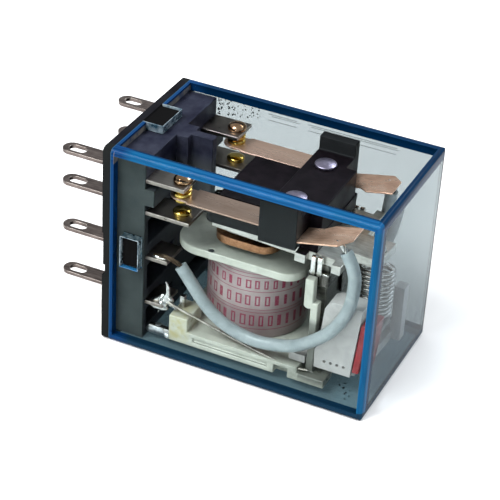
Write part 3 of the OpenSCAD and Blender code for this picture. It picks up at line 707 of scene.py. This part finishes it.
def frames(path):
    """Two side directions at each point of a path, carried along it without twisting."""
    ways = []
    for i in range(len(path)):
        ways.append((path[min(i + 1, len(path) - 1)] - path[max(i - 1, 0)]).normalized())
    side = ways[0].orthogonal().normalized()
    out = []
    for w in ways:
        side = (side - w * side.dot(w)).normalized()
        out.append((side, w.cross(side)))
    return out


def spokes(u, w, sides):
    """Directions all the way round, between the side directions u and w."""
    return [u * math.cos(a) + w * math.sin(a) for a in (2 * math.pi * i / sides for i in range(sides))]


THIN = 0.004  # the least radius of a ring, so that its points stay apart


class Build:
    """Collects rings of points into one mesh. Sizes are in millimetres."""

    def __init__(self):
        self.verts, self.faces, self.groups = [], [], []

    def rings(self, rings, group=0):
        """Skins and caps rings that all hold the same number of points, running the same way round."""
        n, base = len(rings[0]), len(self.verts)
        for ring in rings:
            self.verts += [Vector(p) * MM for p in ring]
        start = len(self.faces)
        for r in range(len(rings) - 1):
            for i in range(n):
                j = (i + 1) % n
                a = base + r * n
                self.faces.append((a + i, a + j, a + n + j, a + n + i))
        self.faces.append(tuple(base + i for i in reversed(range(n))))
        last = base + (len(rings) - 1) * n
        self.faces.append(tuple(last + i for i in range(n)))
        self.groups += [group] * (len(self.faces) - start)

    def tube(self, path, radius, sides=12, ripple=None, bore=0.0):
        """A round bar along a path.

        radius is a number or one per point; ripple(i, angle) scales it; bore hollows out both ends."""
        path = [Vector(p) for p in path]
        radii = radius if isinstance(radius, (list, tuple)) else [radius] * len(path)
        sideways = frames(path)
        rings = []
        for k, (c, (u, w), r) in enumerate(zip(path, sideways, radii)):
            rings.append([c + out * (r * (ripple(k, 2 * math.pi * i / sides) if ripple else 1))
                          for i, out in enumerate(spokes(u, w, sides))])
        if bore:
            for k, inward in ((0, path[1] - path[0]), (-1, path[-2] - path[-1])):
                rim = [path[k] + out * bore for out in spokes(*sideways[k], sides)]
                deep = [q + inward.normalized() * bore for q in rim]
                rings = [deep, rim, *rings] if k == 0 else [*rings, rim, deep]
        self.rings(rings)

    def lathe(self, centre, axis, profile, sides=32):
        """profile is (radius, distance along axis) from one end to the other."""
        axis = Vector(axis).normalized()
        u = axis.orthogonal().normalized()
        round_axis = spokes(u, axis.cross(u), sides)
        foot = Vector(centre)
        self.rings([[foot + axis * h + out * max(r, THIN) for out in round_axis] for r, h in profile])

    def lump(self, centre, size, seed, rough=0.18, rows=10, sides=16, group=0):
        """An uneven rounded blob, such as solder."""
        r = random.Random(seed)
        waves = [(round(r.uniform(1, 3.2)), r.uniform(0, 6.28), r.uniform(-1, 1)) for _ in range(4)]
        c = Vector(centre)
        rings = []
        for k in range(rows + 1):
            t = math.pi * k / rows
            ring = []
            for i in range(sides):
                a = 2 * math.pi * i / sides
                g = 1 + rough * sum(math.sin(f * a + ph + q * 2 * t) for f, ph, q in waves) / 2
                s = max(math.sin(t), 0.02)
                ring.append(c + Vector((size[0] * s * math.cos(a) * g, size[1] * s * math.sin(a) * g,
                                        -size[2] * math.cos(t))))
            rings.append(ring)
        self.rings(rings, group=group)

    def done(self, name, materials, body=None, slot=None, replaces=(), sharp=40):
        """Makes the object; a list of materials goes by the groups of its faces."""
        materials = materials if isinstance(materials, (list, tuple)) else [materials]
        obj = new_object(name, self.verts, self.faces, materials[0], sharp)
        for m in materials[1:]:
            obj.data.materials.append(m)
        if len(materials) > 1:
            obj.data.polygons.foreach_set("material_index", self.groups)
        if body:
            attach(obj, body)
        if replaces:
            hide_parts(*replaces)
        return obj


def on(side, x, y, z):
    """A point given on the front pole, moved to the pole asked for."""
    return Vector((x, -y * side, z))


def strands(build, path, reach, count, wire, turns):
    """count wires twisted round a path, the last of them along its middle."""
    path = [Vector(p) for p in path]
    fr = frames(path)
    for n in range(count):
        pts = []
        for k, (c, (u, w)) in enumerate(zip(path, fr)):
            t = k / (len(path) - 1)
            a = 2 * math.pi * (n / max(count - 1, 1) + turns * t)
            r = 0 if n == count - 1 else reach
            pts.append(c + u * (r * math.cos(a)) + w * (r * math.sin(a)))
        build.tube(pts, wire, 8)


# contacts: polished rivets with a domed head, a barrel and a land
CONTACT = (9.3, -7.5)  # x and y on the front pole
Z_NC, Z_NO = 10.2, 5.7  # the middle of the normally-closed and the normally-open plate
PLATE = 0.25  # half a plate's thickness
STRIP = (8.4, 8.6)  # the moving spring's underside and top
UP = (0, 0, 1)


def dome(r, z, rim, cap, up, steps=7):
    """Profile points of a head from its rim at z out to its crown."""
    way = 1 if up else -1
    turns = [math.pi / 2 * i / steps for i in range(1, steps + 1)]
    return [(r, z + way * rim)] + [(r * math.cos(a), z + way * (rim + cap * math.sin(a))) for a in turns]


for side, word in ((FRONT, "front"), (BACK, "back")):
    at = on(side, *CONTACT, 0)
    head = dome(1.22, Z_NC + PLATE, 0.18, 0.72, True)
    nc = Build()
    nc.lathe(at, UP, [(0, 9.25), (1.0, 9.25), (1.13, 9.33), (1.13, 9.62), (1.02, 9.68), (1.02, 9.74),
                      (1.13, 9.8), (1.13, Z_NC - PLATE), (0.7, Z_NC - PLATE), (0.7, Z_NC + PLATE),
                      (1.1, Z_NC + PLATE), (1.2, Z_NC + PLATE + 0.06)] + head, 40)
    for f in range(len(nc.faces)):
        mid = sum((nc.verts[i].z for i in nc.faces[f]), 0.0) / len(nc.faces[f]) / MM
        nc.groups[f] = 1 if mid > Z_NC else 0
    nc.done(f"contact_nc_rivet_{word}", [M["contact_alloy"], HEAD], "relay", "contact_alloy",
            [f"contact_nc_{word}"])
    no = Build()
    no.lathe(at, UP, list(reversed(dome(1.1, Z_NO - PLATE, 0.1, 0.35, False)))
             + [(1.1, Z_NO - PLATE), (0.7, Z_NO - PLATE), (0.7, Z_NO + PLATE), (1.1, Z_NO + PLATE)]
             + dome(1.15, Z_NO + PLATE, 0.3, 0.36, True), 40)
    no.done(f"contact_no_rivet_{word}", M["contact_alloy"], "relay", "contact_alloy", [f"contact_no_{word}"])
    mv = Build()
    mv.lathe(at, UP, list(reversed(dome(1.15, STRIP[0], 0.4, 0.27, False)))
             + [(1.15, STRIP[0]), (0.6, STRIP[0]), (0.6, STRIP[1]), (1.15, STRIP[1])]
             + dome(1.15, STRIP[1], 0.3, 0.3, True), 40)
    mv.done(f"moving_rivet_{word}", M["contact_alloy"], "armature", "contact_alloy",
            [f"moving_contact_{word}"])

# flexible leads: sleeve, bare strands at both ends, and solder
SLEEVE_R = 0.8
SLEEVE_FROM = 9  # the route's point where the sleeve begins
LEAD_START = [(7.4, -8.85, 0.4), (9.2, -8.85, -0.3), (10.2, -8.85, -1), (13.6, -8.85, -5.3),
              (16.5, -8.85, -7.4), (20, -8.85, -8.3)]
LEAD_BOW = {FRONT: [(23.4, -8.85, -8), (26.6, -8.85, -6.8), (30.2, -8.85, -3.7), (32.2, -8.8, 0),
                    (32.7, -8.7, 3.6), (32.3, -8.5, 5.8), (31, -8.3, 8), (29.4, -8, 10)],
            BACK: [(22.8, -8.85, -7.7), (25.4, -8.85, -6.2), (28, -8.85, -3.4), (29.3, -8.8, 0),
                   (29.9, -8.7, 3.2), (30.2, -8.5, 5.6), (30.4, -8.3, 8), (30.5, -8, 10)]}
for side, word in ((FRONT, "front"), (BACK, "back")):
    route = curve_points([on(side, *q) for q in LEAD_START + LEAD_BOW[side]], 10)
    sleeve = Build()
    sleeve.tube(route[SLEEVE_FROM:-1 if side == FRONT else -4], SLEEVE_R, 24, bore=0.5)
    sleeve = sleeve.done(f"lead_sleeve_{word}", M["lead_sleeve"], slot="lead_sleeve",
                         replaces=[f"flexible_lead_{word}"])
    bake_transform(sleeve)
    bare = Build()
    tail = on(side, 6.3, -8.7, -0.42)
    strands(bare, curve_points([on(side, 5.6, -8.6, -0.4), tail, on(side, 8.0, -8.8, -0.2),
                                *route[SLEEVE_FROM:SLEEVE_FROM + 9:4]], 6), 0.2, 7, 0.09, 1.2)
    bare.lump(on(side, 7.1, -8.6, -0.5), (1.1, 0.5, 0.3), 3, group=1)
    bare.done(f"lead_strands_{word}", [STRAND, M["solder"]], "relay", "solder", [f"lead_joint_{word}"])
    top = Build()
    strands(top, curve_points([route[-8], route[-6], route[-3], on(side, 30.3, -8.05, 8.5),
                               on(side, 29.4, -7.9, 8.35), on(side, 28, -7.8, 8.2)], 6), 0.24, 7, 0.11, 1)
    top.lump(on(side, 29.6, -8.0, 8.32), (0.8, 0.5, 0.2), 11)
    top = top.done(f"lead_top_{word}", M["solder"], slot="solder")
    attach(top, "armature")

# solder and stray strands on the coil's front terminal, and the bare wire that leaves it
joint = Build()
hub = Vector((7.75, -8.35, -7.0))
joint.lump(hub, (1.0, 0.65, 0.95), 5, 0.35)
joint.lump((7.0, -8.35, -7.9), (1.5, 0.7, 0.65), 6, 0.35)
joint.lump((8.7, -8.3, -7.3), (0.42, 0.4, 0.3), 8, 0.3)
for tip, bend, r in (((7.85, -8.35, -4.1), (0.4, 0, 0.1), 0.72), ((5.4, -8.4, -7.9), (-0.1, 0, 0.3), 0.8),
                     ((9.4, -8.4, -7.9), (0.15, 0, 0.2), 0.5), ((6.9, -8.5, -8.9), (0, 0, 0), 0.65)):
    mid = hub.lerp(Vector(tip), 0.5) + Vector(bend)
    path = curve_points([hub, hub, mid, tip, tip], 7)
    joint.tube(path, [r * (1 - 0.88 * (i / (len(path) - 1)) ** 0.6) for i in range(len(path))], 12,
               ripple=lambda i, a: 1 + 0.18 * math.sin(2 * a + 0.9 * i))
joint.done("coil_solder", M["solder"], "relay", "solder", ["coil_joint_front"], 60)

pin_joint = Build()
pin_joint.lump((7.0, -8.5, -11.6), (1.5, 0.65, 0.75), 21, 0.3, 14, 22)
pin_joint.lump((8.3, -8.5, -11.9), (0.7, 0.5, 0.45), 22, 0.3)
pin_joint.done("pin_solder", FROST, "relay", "solder")

wire = Build()
wire.tube(curve_points([(7.0, -8.3, -6.2), (7.8, -8.4, -6.75), (9.2, -8.7, -7.1), (15, -8.8, -8.45),
                        (21, -8.8, -9.85), (25.2, -8.75, -10.55), (27.6, -8.4, -10.6), (29, -8.2, -10.5)], 8),
          0.15)
wire.done("indicator_lead", WIRE, "relay", "bright_steel", ["indicator_wire"])

# specks of black dust inside the case: many by the far top corner, a few on the floor at the near end
dust = Build()
for _ in range(95):
    far = rng.random() ** 1.7
    dust.lump((5.5 + 6.0 * far, 9.62, 13.3 - 3.0 * rng.random() * (1 - 0.4 * far)),
              [rng.uniform(0.04, 0.14), 0.05, rng.uniform(0.04, 0.14)], rng.random(), 0.5, 4, 7)
for _ in range(9):
    dust.lump((31.2 + 2.6 * rng.random(), -8.9 + 3.2 * rng.random(), -12.85),
              [rng.uniform(0.07, 0.17) for _ in range(2)] + [0.06], rng.random(), 0.5, 4, 7)
dust.done("dust_specks", M["card_black"], "relay", "card_black")

# a black plug in the hole of the bobbin's top flange: painted shade
eye = Build()
eye.lathe((13.1, -6.65, 0), UP, [(0, 0.3), (0.33, 0.3), (0.33, 1.22), (0, 1.22)], 16)
eye.done("bobbin_hole_shade", M["black_base"], "relay", "black_base")

# return spring: a hooked helix that stretches between the yoke's anchor and the armature
SPRING_X, SPRING_Y, SPRING_R = 32.3, -1.0, 1.7
SPRING_LOW, SPRING_HIGH = -4.7, 2.2
SPRING_TURNS, TURN_STEPS = 11, 20


def by_spring(dx, dy, z):
    """A point given from the spring's axis."""
    return Vector((SPRING_X + dx, SPRING_Y + dy, z))


total = SPRING_TURNS * TURN_STEPS
coil = []
for i in range(total + 1):
    a = 2 * math.pi * i / TURN_STEPS
    coil.append(by_spring(SPRING_R * math.cos(a), SPRING_R * math.sin(a),
                          SPRING_LOW + (SPRING_HIGH - SPRING_LOW) * i / total))
lower_hook = [by_spring(*q) for q in ((0, 0.1, -6.9), (-0.5, 0, -6.6), (-0.3, 0, -5.9), (0.5, 0, -5.2))]
upper_hook = [by_spring(*q) for q in ((0.7, 0, 2.8), (0, 0, 3.1), (-0.2, -0.1, 3.8), (0.3, 0, 4.7),
                                      (0.1, 0.2, 5.1))]
spring = Build()
spring.tube(lower_hook + coil + upper_hook, 0.19, 10)
spring = spring.done("spring_wire", M["spring_steel"], slot="spring_steel", replaces=["return_spring"],
                     sharp=80)
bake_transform(spring)

# ---------------------------------------------------------------- stage, lights and camera

FLOOR_REACH = 900
FLOOR_Z = cad_box[0].z / MM

scene.view_settings.view_transform = "Standard"
scene.cycles.transparent_max_bounces = 24
scene.cycles.transmission_bounces = 20
scene.cycles.max_bounces = 20
scene.cycles.caustics_reflective = False
scene.cycles.caustics_refractive = False

world = bpy.data.worlds.new("studio")
scene.world = world
world.use_nodes = True
world.node_tree.nodes["Background"].inputs[0].default_value = (0.97, 0.985, 1, 1)
world.node_tree.nodes["Background"].inputs[1].default_value = 0.62

corners = [(-FLOOR_REACH, -FLOOR_REACH), (FLOOR_REACH, -FLOOR_REACH), (FLOOR_REACH, FLOOR_REACH),
           (-FLOOR_REACH, FLOOR_REACH)]
floor = new_object("floor", [P(x, y, FLOOR_Z) for x, y in corners], [(0, 1, 2, 3)],
                   moulded("pale_floor", (0.86, 0.86, 0.86), (0.88, 0.88, 0.88), (0.7, 0.8), 30))


def soft_light(name, at, aim, size, watts, color=(1, 1, 1)):
    """A rectangular area lamp at a point in metres, turned towards aim."""
    data = bpy.data.lights.new(name, "AREA")
    data.shape = "RECTANGLE"
    data.size, data.size_y = size
    data.energy = watts
    data.color = color
    obj = bpy.data.objects.new(name, data)
    scene.collection.objects.link(obj)
    obj.location = at
    obj.rotation_mode = "QUATERNION"
    obj.rotation_quaternion = (Vector(aim) - Vector(at)).to_track_quat("-Z", "Y")


centre = (cad_box[0] + cad_box[1]) / 2
soft_light("key", (-0.22, -0.30, 0.55), centre, (0.30, 0.30), 6.0)
soft_light("rim", (0.25, 0.45, 0.50), centre, (0.45, 0.25), 3.6, (0.92, 0.96, 1))
soft_light("strip", (-0.05, -0.45, 0.12), centre, (0.35, 0.04), 0.7)

cam_data = bpy.data.cameras.new("camera")
cam_data.lens = 129.67
cam_data.sensor_width = 36
cam = bpy.data.objects.new("camera", cam_data)
scene.collection.objects.link(cam)
right = Vector((0.9024, 0.4279, 0.0513))
up = Vector((-0.2716, 0.4723, 0.8386))
back = Vector((0.3346, -0.7706, 0.5424))
cam.matrix_world = Matrix.Translation(P(91.17, -174.69, 121.23)) @ Matrix(
    [[right[i], up[i], back[i]] for i in range(3)]).to_4x4()
cam_data.clip_start = 0.01
scene.camera = cam
